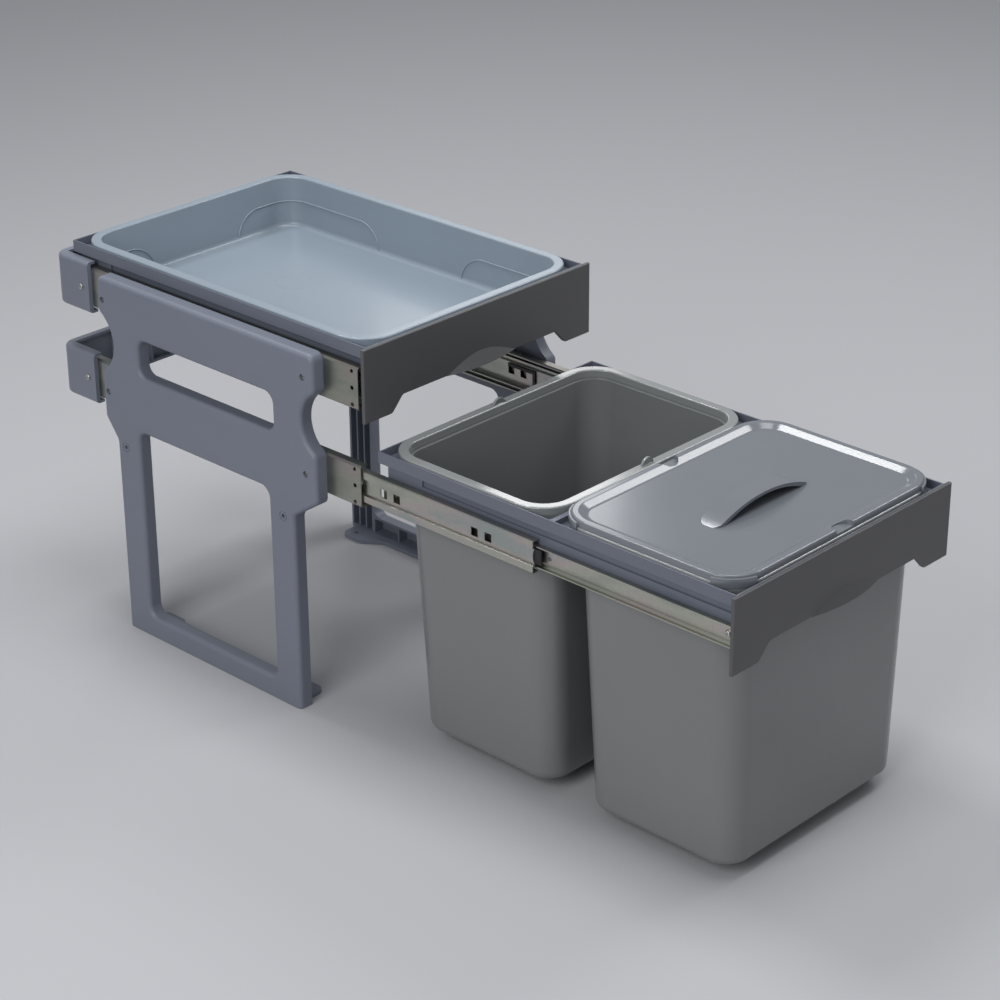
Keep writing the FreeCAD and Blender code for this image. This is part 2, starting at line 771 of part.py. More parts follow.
def slide_outer_cage(tier, side, sign):
    """Steel cage that spaces the balls between the outer and the middle member."""
    body = new_body(f"{tier}_{side}_outer_cage")
    section = new_sketch(body, "XZ_Plane")
    outline(section, channel([
        ("steel + cage_slip", "outer_ball + cage_steel / 2"),
        ("ball_line + ball_radius + cage_steel", "outer_ball + cage_steel / 2"),
        ("ball_line + ball_radius + cage_steel", "outer_ball - cage_steel / 2"),
        ("steel + cage_slip + cage_steel", "outer_ball - cage_steel / 2"),
    ][::-1])[::-1])
    pad(body, section, "cage_length", True)
    caged_balls(body, "ball_line", "outer_ball")
    stand_slide_piece(body, tier, sign, "(slide_front + mid_rear - cage_length) / 2", 0.25)


def slide_inner_cage(tier, side, sign):
    """Two steel strips that space the balls between the middle and the inner member."""
    body = new_body(f"{tier}_{side}_inner_cage")
    start = "(mid_band + steel + slide_depth - inner_reach - cage_steel) / 2"
    for flip in ("", "-"):
        section = new_sketch(body, "XZ_Plane")
        outline(section, [
            (start, f"{flip}(inner_half - steel / 2)"),
            (f"{start} + cage_steel", f"{flip}(inner_half - steel / 2)"),
            (f"{start} + cage_steel", f"{flip}(inner_ball - cage_steel / 2)"),
            (f"{start} + cage_reach", f"{flip}(inner_ball - cage_steel / 2)"),
            (f"{start} + cage_reach", f"{flip}(inner_ball + cage_steel / 2)"),
            (start, f"{flip}(inner_ball + cage_steel / 2)"),
        ])
        pad(body, section, "cage_length", True)
    caged_balls(body, f"({start} + cage_reach / 2 + cage_steel)", "inner_ball")
    stand_slide_piece(body, tier, sign, "(mid_front + inner_rear - cage_length) / 2", 0.75)


def caged_balls(body, across, level):
    """Two rows of balls, each loose in a round hole of its cage and short of both its tracks."""
    holes = new_sketch(body, "XY_Plane", f"{level} + cage_steel")
    numbers = range(round(value("ball_count")))
    stations = [f"({number} + 0.5) * cage_length / ball_count" for number in numbers]
    circles(holes, [(across, along) for along in stations], "ball_radius + ball_slack")
    pocket(body, holes, f"2 * ({level} + cage_steel)")
    for along in stations:
        for up in (level, f"-{level}"):
            ball = body.newObject("PartDesign::AdditiveSphere", "Ball")
            ball.setExpression("Radius", bind("ball_radius"))
            ball.setExpression("Placement.Base.x", bind(across))
            ball.setExpression("Placement.Base.y", bind(along))
            ball.setExpression("Placement.Base.z", bind(up))
    doc.recompute()


def frame(tier):
    """Drawer frame: a rim round a well, a ledge that carries the vessels and walls for the slides."""
    body = new_body(f"{tier}_frame")
    rim = new_sketch(body, "XY_Plane", "-rim_height")
    rectangle(rim, "-rim_x", "frame_front", "rim_x", "frame_rear")
    pad(body, rim, "rim_height")
    skirt = new_sketch(body, "XY_Plane", "-rim_height")
    rectangle(skirt, "-wall_x", "frame_front", "wall_x", "frame_step")
    pad(body, skirt, "frame_drop - rim_height", True)
    well = new_sketch(body, "XY_Plane")
    rectangle(well, "-well_x", "well_front", "well_x", "well_rear")
    pocket(body, well, "-ledge_top")
    fillet(body, "rim_soft", lambda edge: lies_at(edge, "z", 0))
    hollow = new_sketch(body, "XY_Plane", "-frame_drop")
    rectangle(hollow, "frame_wall - wall_x", "frame_front + frame_wall",
              "wall_x - frame_wall", "frame_step - frame_wall")
    pocket(body, hollow, "frame_drop - rim_height", True)
    seats = new_sketch(body, "XY_Plane", "ledge_top")
    if tier == "upper":
        seat(seats, "vessel_front", "vessel_rear")
    else:
        seat(seats, "vessel_front", "vessel_front + bin_length")
        seat(seats, "vessel_rear - bin_length", "vessel_rear")
    pocket(body, seats, "ledge_thick")
    if tier == "lower":
        divider = new_sketch(body, "XY_Plane", "ledge_top")
        rectangle(divider, "-well_x", "divider_middle - divider_width / 2",
                  "well_x", "divider_middle + divider_width / 2")
        pad(body, divider, "divider_height")
    for sign in (-1, 1):
        groove = new_sketch(body, "YZ_Plane", f"{sign} * wall_x")
        rectangle(groove, "frame_front", "-groove_low", "frame_step - groove_rear", "-rim_height")
        pocket(body, groove, "groove_depth", sign < 0)
        holes = new_sketch(body, "YZ_Plane", f"{sign} * wall_x")
        circles(holes, drawer_screw_places(), "hole_radius")
        pocket(body, holes, "frame_wall", sign < 0)
    front_holes = new_sketch(body, "XZ_Plane", "-frame_front")
    circles(front_holes, front_screw_places(), "hole_radius")
    pocket(body, front_holes, "frame_wall")
    stand_in_drawer(body, tier)


def seat(sketch, front, rear):
    """Opening in the ledge that a vessel hangs through."""
    rounded(sketch, "-seat_x", f"{front} + rim_lap - seat_clear",
            "seat_x", f"{rear} - rim_lap + seat_clear", "seat_corner")


def stand_in_drawer(body, tier):
    """Put a piece in its drawer: the lower drawer stands pulled out, the upper one pushed in."""
    place(body, y="-drawer_travel" if tier == "lower" else "0", z=f"{tier}_top")


def drawer_screw_places():
    return [("inner_front + inner_screw_front", "-slide_drop"),
            ("inner_front + inner_screw_rear", "-slide_drop")]


def front_screw_places():
    return [(across, "-front_screw_drop") for across in
            ("-front_screw_out", "-front_screw_in", "front_screw_in", "front_screw_out")]


def front_panel(tier):
    """Front panel with a leg at each end, a swept lower edge and a flared finger lip."""
    body = new_body(f"{tier}_front_panel")
    face = new_sketch(body, "XZ_Plane", "front_reach")
    foot = "front_half - front_leg_width"
    outline(face, [
        ("-front_half", "-front_leg_drop"),
        (f"-({foot})", "-front_leg_drop"),
        (f"-({foot} - front_leg_slant)", "-front_height"),
        (f"{foot} - front_leg_slant", "-front_height"),
        (foot, "-front_leg_drop"),
        ("front_half", "-front_leg_drop"),
        ("front_half", "0"),
        ("-front_half", "0"),
    ])
    pad(body, face, "front_thick", True)
    fillet(body, "front_corner",
           lambda edge: runs_along(edge, Vector(0, 1, 0)) and edge.CenterOfMass.z < -1
           and abs(edge.CenterOfMass.x) < value("front_half") - 1)
    fore = value("front_y")
    fillet(body, "front_edge", lambda edge: lies_at(edge, "y", fore))
    lip = new_sketch(body, "XY_Plane", "-front_height")
    bowed_lip(lip, "(lip_chord / 2)", "lip_reach")
    pad(body, lip, "lip_height", False, "-atan(lip_reach / lip_height)")
    trim = new_sketch(body, "XZ_Plane", "-frame_front")
    rectangle(trim, "-lip_chord / 2", "-front_height", "lip_chord / 2", "lip_height - front_height")
    pocket(body, trim, "lip_reach")
    scoop = new_sketch(body, "XY_Plane", "-front_height")
    bowed_lip(scoop, "(lip_chord / 2 - 4 * lip_wall)", "(lip_reach - lip_wall)")
    pocket(body, scoop, "lip_height - 2 * lip_wall", True, "-atan(lip_reach / lip_height)")
    holes = new_sketch(body, "XZ_Plane", "-frame_front")
    circles(holes, front_screw_places(), "hole_radius")
    pocket(body, holes, "front_thick / 2", True)
    stand_in_drawer(body, tier)


def bowed_lip(sketch, half, reach):
    """The finger lip from above: bowed to the front, and deep enough behind to taper over its height."""
    bow = f"({half} * {half} + {reach} * {reach}) / (2 * {reach})"
    outline(sketch, [
        (f"-{half}", "front_y", bow, 1),
        (half, "front_y"),
        (half, "frame_front + lip_reach"),
        (f"-{half}", "frame_front + lip_reach"),
    ])


def drawer_screws(tier):
    """Screws that hold the inner members to the frame's side walls."""
    body = new_body(f"{tier}_slide_screws")
    for side, sign in SIDES:
        seat_level = f"{sign} * (wall_x + steel)"
        heads = new_sketch(body, "YZ_Plane", seat_level)
        circles(heads, drawer_screw_places(), "screw_head_radius")
        pad(body, heads, "screw_head", sign < 0)
        shanks = new_sketch(body, "YZ_Plane", seat_level)
        circles(shanks, drawer_screw_places(), "screw_radius")
        pad(body, shanks, "steel + frame_wall", sign > 0)
    stand_in_drawer(body, tier)


def front_screws(tier):
    """Screws from inside the frame into the front panel."""
    body = new_body(f"{tier}_front_screws")
    level = "-(frame_front + frame_wall)"
    heads = new_sketch(body, "XZ_Plane", level)
    circles(heads, front_screw_places(), "screw_head_radius")
    pad(body, heads, "screw_head", True)
    shanks = new_sketch(body, "XZ_Plane", level)
    circles(shanks, front_screw_places(), "screw_radius")
    pad(body, shanks, "frame_wall + front_thick / 2 - screw_play")
    stand_in_drawer(body, tier)


def hung_rim(body, front, rear):
    """Rolled rim of a tray or bin, which hangs on the frame's ledge by its skirt."""
    rim = new_sketch(body, "XY_Plane", "ledge_top")
    rounded(rim, "-vessel_x", front, "vessel_x", rear, "vessel_corner")
    pad(body, rim, "rim_stand - ledge_top")
    roll = new_sketch(body, "XY_Plane", "ledge_top")
    rounded_inside(roll, front, rear, "rim_skirt")
    pocket(body, roll, "rim_stand - ledge_top - rim_sheet", True)


def rounded_inside(sketch, front, rear, lap):
    """The rim's outline, drawn in by an even lap."""
    rounded(sketch, f"{lap} - vessel_x", f"{front} + {lap}", f"vessel_x - ({lap})", f"{rear} - ({lap})",
            f"vessel_corner - ({lap})")


def soften_rim(body):
    """Round both edges of a rim's top."""
    top = value("rim_stand")
    fillet(body, "rim_edge", lambda edge: lies_at(edge, "z", top))


def round_bottom(body, drop, radius):
    """Round a vessel's floor, first inside and then outside."""
    floor = value(f"vessel_wall - {drop}")
    fillet(body, f"{radius} - vessel_wall", lambda edge: lies_at(edge, "z", floor))
    bottom = -value(drop)
    fillet(body, radius, lambda edge: lies_at(edge, "z", bottom))


def tray():
    """Shallow tray of the upper drawer, with drafted walls and a raised floor."""
    body = new_body("tray")
    front = "vessel_front"
    rear = "vessel_rear"
    hung_rim(body, front, rear)
    wall = new_sketch(body, "XY_Plane", "rim_stand")
    rounded_inside(wall, front, rear, "rim_lap")
    pad(body, wall, "tray_drop + rim_stand", True, "-tray_draft")
    inside = new_sketch(body, "XY_Plane", "rim_stand")
    rounded_inside(inside, front, rear, "rim_lap + vessel_wall")
    pocket(body, inside, "tray_drop + rim_stand - vessel_wall", False, "-tray_draft")
    round_bottom(body, "tray_drop", "tray_round")
    soften_rim(body)
    step = new_sketch(body, "XY_Plane", "vessel_wall - tray_drop")
    rounded(step, "tray_floor_lap - vessel_x", f"{front} + tray_floor_lap",
            "vessel_x - tray_floor_lap", f"{rear} - tray_floor_lap", "tray_step_corner")
    pad(body, step, "tray_step")
    level = value("vessel_wall - tray_drop + tray_step")
    fillet(body, "tray_step_soft", lambda edge: lies_at(edge, "z", level))
    stand_in_drawer(body, "upper")


def waste_bin(name, front, rear):
    """Deep bin of the lower drawer: a stepped mouth for the lid, and walls that taper to a round floor."""
    body = new_body(name)
    hung_rim(body, front, rear)
    collar = new_sketch(body, "XY_Plane", "rim_stand")
    rounded_inside(collar, front, rear, "rim_lap")
    pad(body, collar, "rim_stand + mouth_depth + vessel_wall", True)
    tapered_walls(body, "PartDesign::AdditiveLoft", front, rear, "0")
    mouth = new_sketch(body, "XY_Plane", "rim_stand")
    rounded_inside(mouth, front, rear, "rim_lap + vessel_wall")
    pocket(body, mouth, "rim_stand + mouth_depth")
    tapered_walls(body, "PartDesign::SubtractiveLoft", front, rear, "vessel_wall")
    round_bottom(body, "bin_drop", "bin_round")
    soften_rim(body)
    stand_in_drawer(body, "lower")


def tapered_walls(body, kind, front, rear, inset):
    """Loft from the bin's mouth to its floor, drawn in by a wall where asked."""
    lap = f"rim_lap + mouth_step + {inset}"
    high = new_sketch(body, "XY_Plane", "-mouth_depth")
    rounded_inside(high, front, rear, lap)
    low = new_sketch(body, "XY_Plane", f"{inset} - bin_drop")
    rounded(low, f"{lap} + side_taper - vessel_x", f"{front} + {lap} + front_taper",
            f"vessel_x - ({lap} + side_taper)", f"{rear} - ({lap} + rear_taper)", f"bin_corner - ({inset})")
    loft = body.newObject(kind, "Walls")
    loft.Profile = high
    loft.Sections = [low]
    loft.Ruled = True
    doc.recompute()


def lid():
    """Lid of the front bin: a soft ridge round a dished panel, a plug below and an arched handle."""
    body = new_body("front_bin_lid")
    middle = "front_bin_middle"
    ridge = new_sketch(body, "XY_Plane", "rim_stand")
    rounded(ridge, "-lid_x", f"{middle} - lid_half", "lid_x", f"{middle} + lid_half", "lid_corner")
    pad(body, ridge, "lid_height")
    sunk = new_sketch(body, "XY_Plane", "rim_stand + lid_height")
    rounded(sunk, "lid_band - lid_x", f"{middle} - lid_half + lid_band",
            "lid_x - lid_band", f"{middle} + lid_half - lid_band", "lid_corner - lid_band")
    pocket(body, sunk, "lid_height - lid_sheet", False, "-atan(lid_slope / (lid_height - lid_sheet))")
    dish = value("rim_stand + lid_sheet")
    fillet(body, "lid_dish", lambda edge: lies_at(edge, "z", dish))
    top = value("rim_stand + lid_height")
    fillet(body, "lid_soft", lambda edge: lies_at(edge, "z", top))
    notches = new_sketch(body, "XY_Plane", "rim_stand + lid_height")
    circles(notches, [("notch_offset", f"{middle} - lid_half"), ("notch_offset", f"{middle} + lid_half")],
            "notch_radius")
    pocket(body, notches, "lid_height - lid_sheet")
    plug = new_sketch(body, "XY_Plane", "rim_stand")
    rounded(plug, "-plug_x", f"{middle} - plug_half", "plug_x", f"{middle} + plug_half", "plug_corner")
    rounded(plug, "lid_sheet - plug_x", f"{middle} - plug_half + lid_sheet",
            "plug_x - lid_sheet", f"{middle} + plug_half - lid_sheet", "plug_corner - lid_sheet")
    pad(body, plug, "lid_plug", True)
    arch = new_sketch(body, "XZ_Plane", "handle_width / 2 - handle_y")
    bow_over_lid(arch, "(handle_length / 2)", "handle_rise")
    pad(body, arch, "handle_width", True)
    grip = new_sketch(body, "XZ_Plane", "handle_width / 2 - handle_y")
    bow_over_lid(grip, "(handle_length / 2 - 4 * handle_thick)", "(handle_rise - handle_thick)")
    pocket(body, grip, "handle_width - handle_thick")
    ends = new_sketch(body, "XY_Plane", "rim_stand + lid_sheet")
    left = "(-handle_offset - handle_length / 2)"
    right = "(handle_length / 2 - handle_offset)"
    rectangle(ends, f"{left} - handle_thick", "handle_y - handle_width / 2 - handle_thick",
              f"{right} + handle_thick", "handle_y + handle_width / 2 + handle_thick")
    rounded(ends, left, "handle_y - handle_width / 2", right, "handle_y + handle_width / 2", "handle_corner")
    pocket(body, ends, "handle_rise", True)
    stand_in_drawer(body, "lower")


def bow_over_lid(sketch, half, rise):
    """Bow of the lid's handle, seen from the front."""
    bow = f"({half} * {half} + {rise} * {rise}) / (2 * {rise})"
    outline(sketch, [(f"-handle_offset - {half}", "rim_stand + lid_sheet"),
                     (f"{half} - handle_offset", "rim_stand + lid_sheet", bow, 1)])


for side, sign in SIDES:
    side_panel(side, sign)
    panel_screws(side, sign)
crossbar_screws()
for tier in TIERS:
    crossbar(tier)
    for side, sign in SIDES:
        slide_outer(tier, side, sign)
        slide_outer_cage(tier, side, sign)
        slide_mid(tier, side, sign)
        slide_stops(tier, side, sign)
        slide_inner_cage(tier, side, sign)
        slide_inner(tier, side, sign)
    frame(tier)
    front_panel(tier)
    drawer_screws(tier)
    front_screws(tier)
tray()
waste_bin("rear_bin", "vessel_rear - bin_length", "vessel_rear")
waste_bin("front_bin", "vessel_front", "vessel_front + bin_length")
lid()

doc.recompute()
for item in doc.Objects:
    if "Invalid" in item.State or "Error" in item.State:
        owner = item.getParentGeoFeatureGroup() or item
        raise RuntimeError(f"{owner.Label}: {item.Label} failed: {item.State}")
for body in sub_parts:
    if body.Shape.isNull() or not body.Shape.isValid():
        raise RuntimeError(f"{body.Label} has no valid shape")
os.makedirs("parts", exist_ok=True)
for body in sub_parts:
    body.Shape.exportStep(f"parts/{body.Label}.step")
print(f"{len(sub_parts)} sub-parts written")
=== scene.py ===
import math
import bpy
from mathutils import Matrix, Vector


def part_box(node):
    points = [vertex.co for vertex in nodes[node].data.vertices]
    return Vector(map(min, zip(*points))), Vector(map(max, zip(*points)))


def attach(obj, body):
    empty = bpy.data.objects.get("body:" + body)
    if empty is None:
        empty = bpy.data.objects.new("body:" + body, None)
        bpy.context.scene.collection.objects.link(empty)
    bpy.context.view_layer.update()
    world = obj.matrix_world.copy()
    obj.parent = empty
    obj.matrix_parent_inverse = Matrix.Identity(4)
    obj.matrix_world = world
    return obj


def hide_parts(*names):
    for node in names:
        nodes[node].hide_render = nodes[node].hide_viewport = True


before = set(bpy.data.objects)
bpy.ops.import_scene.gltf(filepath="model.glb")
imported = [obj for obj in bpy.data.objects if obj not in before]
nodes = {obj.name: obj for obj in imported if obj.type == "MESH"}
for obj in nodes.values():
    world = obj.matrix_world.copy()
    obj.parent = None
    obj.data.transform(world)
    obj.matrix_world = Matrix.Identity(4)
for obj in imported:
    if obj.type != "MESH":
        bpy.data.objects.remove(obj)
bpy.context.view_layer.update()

# Side panels and rear crossbars.
# Two injection-moulded legs and two moulded channels, all in one blue-grey plastic with a fine spark-eroded
# grain. The panels stand on the cabinet floor, and the crossbars tie them at the back.


class Wire:
    """One socket of a material. Arithmetic on it adds Math nodes, and make adds any other node."""

    def __init__(self, tree, socket=None):
        self.tree = tree
        self.socket = socket

    def make(self, kind, settings, sockets, out=0):
        node = self.tree.nodes.new("ShaderNode" + kind)
        for name, setting in settings.items():
            if name == "stops":
                ramp = node.color_ramp
                while len(ramp.elements) < len(setting):
                    ramp.elements.new(1.0)
                for element, (place, shade) in zip(ramp.elements, setting):
                    element.position = place
                    element.color = shade
            else:
                setattr(node, name, setting)
        for name, value in sockets.items():
            if isinstance(value, Wire):
                self.tree.links.new(value.socket, node.inputs[name])
            else:
                node.inputs[name].default_value = value
        return Wire(self.tree, node.outputs[out])

    def math(self, operation, first, second):
        return self.make("Math", {"operation": operation}, {0: first, 1: second})

    def __add__(self, other):
        return self.math("ADD", self, other)

    def __radd__(self, other):
        return self.math("ADD", other, self)

    def __sub__(self, other):
        return self.math("SUBTRACT", self, other)

    def __rsub__(self, other):
        return self.math("SUBTRACT", other, self)

    def __mul__(self, other):
        return self.math("MULTIPLY", self, other)

    def __rmul__(self, other):
        return self.math("MULTIPLY", other, self)

    def noise(self, coords, scale, detail=3.0, roughness=0.5):
        return self.make(
            "TexNoise", {}, {"Vector": coords, "Scale": scale, "Detail": detail, "Roughness": roughness})

    def blend(self, factor, first, second):
        return self.make("Mix", {"data_type": "RGBA"}, {0: factor, 6: first, 7: second}, 2)

    def ramp(self, factor, *stops):
        return self.make("ValToRGB", {"stops": stops}, {"Fac": factor})

    def stretched(self, x, y, z):
        coords = self.make("TexCoord", {}, {}, "Object")
        return self.make("Mapping", {}, {"Vector": coords, "Scale": (x, y, z)})

    def height(self):
        return self.make("SeparateXYZ", {}, {"Vector": self.make("TexCoord", {}, {}, "Object")}, "Z")


def new_material(name):
    """Empty node material, a wire to build on and its shader."""
    material = bpy.data.materials.new(name)
    material.use_nodes = True
    tree = material.node_tree
    shader = next(node for node in tree.nodes if node.type == "BSDF_PRINCIPLED")
    return material, Wire(tree), shader


def feed(wire, shader, **inputs):
    """Set or link sockets of the shader by name, with underscores for spaces."""
    for name, value in inputs.items():
        socket = shader.inputs[name.replace("_", " ")]
        if isinstance(value, Wire):
            wire.tree.links.new(value.socket, socket)
        else:
            socket.default_value = value


def tint(colour, by):
    return tuple(min(channel * by, 1.0) for channel in colour) + (1.0,)


CLOUD_SCALE = 9.0
FLOW_SCALE = 3.0
GRAIN_SCALE = 2600.0
LEVEL_FLOW = (5.0, 5.0, 42.0)
NO_RIM = 9.0
RIM_FADE = 0.0010


def moulded_plastic(
        name, colour, roughness, grain_height, flow_lines=LEVEL_FLOW, flow_share=0.3, gloss=0.0, rim=NO_RIM):
    """Moulded plastic: clouds and flow lines in the colour, a fine grain, and a polished band above rim whose
    colour is lightened, a painted highlight.
    """
    material, wire, shader = new_material(name)
    coords = wire.stretched(1.0, 1.0, 1.0)
    clouds = wire.noise(coords, CLOUD_SCALE, 4.0)
    flow = wire.noise(wire.stretched(*flow_lines), FLOW_SCALE, 2.0)
    grain = wire.noise(coords, GRAIN_SCALE, 1.0)
    shade = wire.blend(clouds * (1.0 - flow_share) + flow * flow_share, tint(colour, 0.92), tint(colour, 1.08))
    shade = wire.blend(grain * 0.22, shade, tint(colour, 0.8))
    # Above rim the colour is lightened as a painted highlight; the band is also given lower roughness and a
    # coat.
    polish_and_painted_highlight = wire.make("MapRange", {}, {"Value": wire.height(), "From Min": rim - RIM_FADE, "From Max": rim})
    shade = wire.blend(polish_and_painted_highlight, shade, tint(colour, 1.35))
    rough = (roughness - 0.07 + clouds * 0.07 + grain * 0.06) * (1.0 - polish_and_painted_highlight * 0.5)
    bump = wire.make("Bump", {}, {"Strength": 0.55, "Distance": grain_height, "Height": grain})
    feed(wire, shader, Base_Color=shade, Roughness=rough, Normal=bump, IOR=1.49,
         Coat_Weight=gloss + polish_and_painted_highlight * 0.6, Coat_Roughness=0.10)
    return material


def dress(material, *names):
    """Give CAD nodes a material."""
    for name in names:
        piece = nodes[name]
        if piece.material_slots:
            for place in piece.material_slots:
                place.material = material
        else:
            piece.data.materials.append(material)


panel_plastic = moulded_plastic("panel_plastic", (0.176, 0.193, 0.241), 0.43, 0.00012)
dress(panel_plastic, "side_panel_left", "side_panel_right", "rear_crossbar_upper", "rear_crossbar_lower")

# Slide members.
# Roll-formed strips of sheet steel, zinc plated and passivated, so that a faint green and rose bloom
# lies over the metal. Fine rolling lines run along each member. The one plating is painted lighter on the
# middle and inner members and darker on the outer ones, painted light and shade.
SIDES = ("left", "right")
TIERS = ("upper", "lower")
ROLLING_LINES = (1400.0, 9.0, 1400.0)
BLOOM_PATCHES = (30.0, 9.0, 30.0)
# shade scales the one zinc colour: painted light on the middle and inner members, painted shade on the outer
# ones.
for name, shade, pieces in (("slide_zinc", 1.22, ("middle", "inner")), ("outer_zinc_painted_shade", 0.92, ("outer",))):
    plated, wire, shader = new_material(name)
    coords = wire.stretched(1.0, 1.0, 1.0)
    rolling = wire.noise(wire.stretched(*ROLLING_LINES), 1.0, 2.0)
    bloom = wire.noise(wire.stretched(*BLOOM_PATCHES), 1.0, 3.0)
    spangle = wire.noise(coords, 260.0, 2.0)
    zinc = wire.ramp(
        bloom,
        (0.30, tint((0.305, 0.325, 0.288), shade)),
        (0.45, tint((0.430, 0.440, 0.374), shade)),
        (0.55, tint((0.465, 0.416, 0.391), shade)),
        (0.68, tint((0.350, 0.382, 0.366), shade)))
    zinc = wire.blend(spangle * 0.35, zinc, tint((0.215, 0.220, 0.205), shade))
    line_bump = wire.make("Bump", {}, {"Strength": 0.25, "Distance": 0.00006, "Height": rolling})
    rough = 0.24 + rolling * 0.14 + spangle * 0.08
    feed(wire, shader, Base_Color=zinc, Metallic=1.0, Roughness=rough, Normal=line_bump)
    dress(plated, *[f"{tier}_{side}_slide_{piece}" for tier in TIERS for side in SIDES for piece in pieces])

# Ball cages.
# Thin pressed steel strips that space the balls between two members. They are plain steel, greyer than
# the plated members, and a film of grease clings to them.
cage_steel, wire, shader = new_material("cage_steel")
smear = wire.noise(wire.stretched(60.0, 18.0, 60.0), 1.0, 4.0)
steel = wire.blend(smear, (0.20, 0.20, 0.19, 1.0), (0.36, 0.36, 0.35, 1.0))
feed(wire, shader, Base_Color=steel, Metallic=1.0, Roughness=0.18 + smear * 0.3)
cages = [f"{tier}_{side}_{cage}_cage" for tier in TIERS for side in SIDES for cage in ("outer", "inner")]
dress(cage_steel, *cages)

# Slide stops and latches.
# Small black nylon mouldings clipped into the middle members, where they stop the inner member
# and let it be taken off by a thumb.
stop_plastic = moulded_plastic("stop_plastic", (0.012, 0.012, 0.013), 0.42, 0.00008)
dress(stop_plastic, *[f"{tier}_{side}_slide_stops" for tier in TIERS for side in SIDES])

# Screws.
# Zinc-plated steel with domed pan heads and a cross recess, a little scuffed by the driver. They hold the
# slides to the panels, the crossbars to the panels and the inner members to the drawer frames.
HEAD_RADIUS = 0.0034
HEAD_HEIGHT = 0.0022
HEAD_DOME = 0.0012
SHANK_RADIUS = 0.0020
SHANK_LENGTH = 0.0060
RECESS_LENGTH = 0.0038
RECESS_WIDTH = 0.0008
RECESS_DEPTH = 0.0012
RECESS_TAPER = 0.55
DRIVEN_TURN = 0.4
DRIVEN_SPREAD = 190.0
TOUCH = 0.0001
screw_zinc, wire, shader = new_material("screw_zinc")
coords = wire.stretched(1.0, 1.0, 1.0)
scuff = wire.noise(coords, 900.0, 4.0)
plating = wire.blend(scuff, (0.40, 0.40, 0.38, 1.0), (0.62, 0.62, 0.59, 1.0))
feed(wire, shader, Base_Color=plating, Metallic=1.0, Roughness=0.2 + scuff * 0.25)
dress(screw_zinc, *[f"{tier}_front_screws" for tier in TIERS])


def pick_faces(piece, wanted):
    """Edit mode on a piece, with the faces selected whose centre passes a test."""
    bpy.ops.object.mode_set(mode="EDIT")
    bpy.ops.mesh.select_mode(type="FACE")
    bpy.ops.mesh.select_all(action="DESELECT")
    bpy.ops.object.mode_set(mode="OBJECT")
    for face in piece.data.polygons:
        face.select = wanted(face.center)
    bpy.ops.object.mode_set(mode="EDIT")


def only(piece):
    """Select one piece and nothing else."""
    bpy.ops.object.select_all(action="DESELECT")
    piece.select_set(True)
    bpy.context.view_layer.objects.active = piece


def joined(pieces, name, material):
    """One named object of several pieces, in one material."""
    only(pieces[0])
    for piece in pieces:
        piece.select_set(True)
    bpy.ops.object.join()
    whole = bpy.context.object
    whole.name = name
    whole.data.materials.clear()
    whole.data.materials.append(material)
    return whole


bpy.ops.object.select_all(action="DESELECT")
bpy.ops.mesh.primitive_cylinder_add(
    vertices=32, radius=HEAD_RADIUS, depth=HEAD_HEIGHT, location=(0.0, 0.0, -HEAD_HEIGHT / 2))
pan_screw = bpy.context.object
bpy.ops.object.transform_apply(location=True)
pick_faces(pan_screw, lambda centre: centre.z > -TOUCH)
bpy.ops.mesh.bevel(offset=HEAD_DOME, segments=5, profile=0.5)
pick_faces(pan_screw, lambda centre: centre.z < TOUCH - HEAD_HEIGHT)
bpy.ops.mesh.inset(thickness=HEAD_RADIUS - SHANK_RADIUS)
bpy.ops.mesh.extrude_region_move(TRANSFORM_OT_translate={"value": (0.0, 0.0, -SHANK_LENGTH)})
bpy.ops.object.mode_set(mode="OBJECT")
for turn in (0.0, math.pi / 2):
    bpy.ops.mesh.primitive_cube_add(size=1.0, rotation=(0.0, 0.0, turn))
    blade = bpy.context.object
    blade.scale = (RECESS_LENGTH, RECESS_WIDTH, 2 * RECESS_DEPTH)
    bpy.ops.object.transform_apply(rotation=True, scale=True)
    pick_faces(blade, lambda centre: centre.z < TOUCH - RECESS_DEPTH)
    bpy.ops.transform.resize(value=(RECESS_TAPER, RECESS_TAPER, 1.0))
    bpy.ops.object.mode_set(mode="OBJECT")
    only(pan_screw)
    cut = pan_screw.modifiers.new("recess", "BOOLEAN")
    cut.object = blade
    cut.operation = "DIFFERENCE"
    bpy.ops.object.modifier_apply(modifier=cut.name)
    bpy.data.objects.remove(blade)


def screw_seats(node):
    """Each screw of a CAD node: its side, its axis in y and z, its head's outer face and its tip."""
    seats = []
    for vertex in nodes[node].data.vertices:
        side = math.copysign(1.0, vertex.co.x)
        for seat in seats:
            apart = max(abs(seat[1] - vertex.co.y), abs(seat[2] - vertex.co.z))
            if seat[0] == side and apart < 3 * HEAD_RADIUS:
                seat[3].append(vertex.co)
                break
        else:
            seats.append([side, vertex.co.y, vertex.co.z, [vertex.co]])
    places = []
    for side, _, _, corners in seats:
        across = [corner.y for corner in corners]
        up = [corner.z for corner in corners]
        out = [abs(corner.x) for corner in corners]
        places.append((side, (min(across) + max(across)) / 2, (min(up) + max(up)) / 2, max(out), min(out)))
    return places


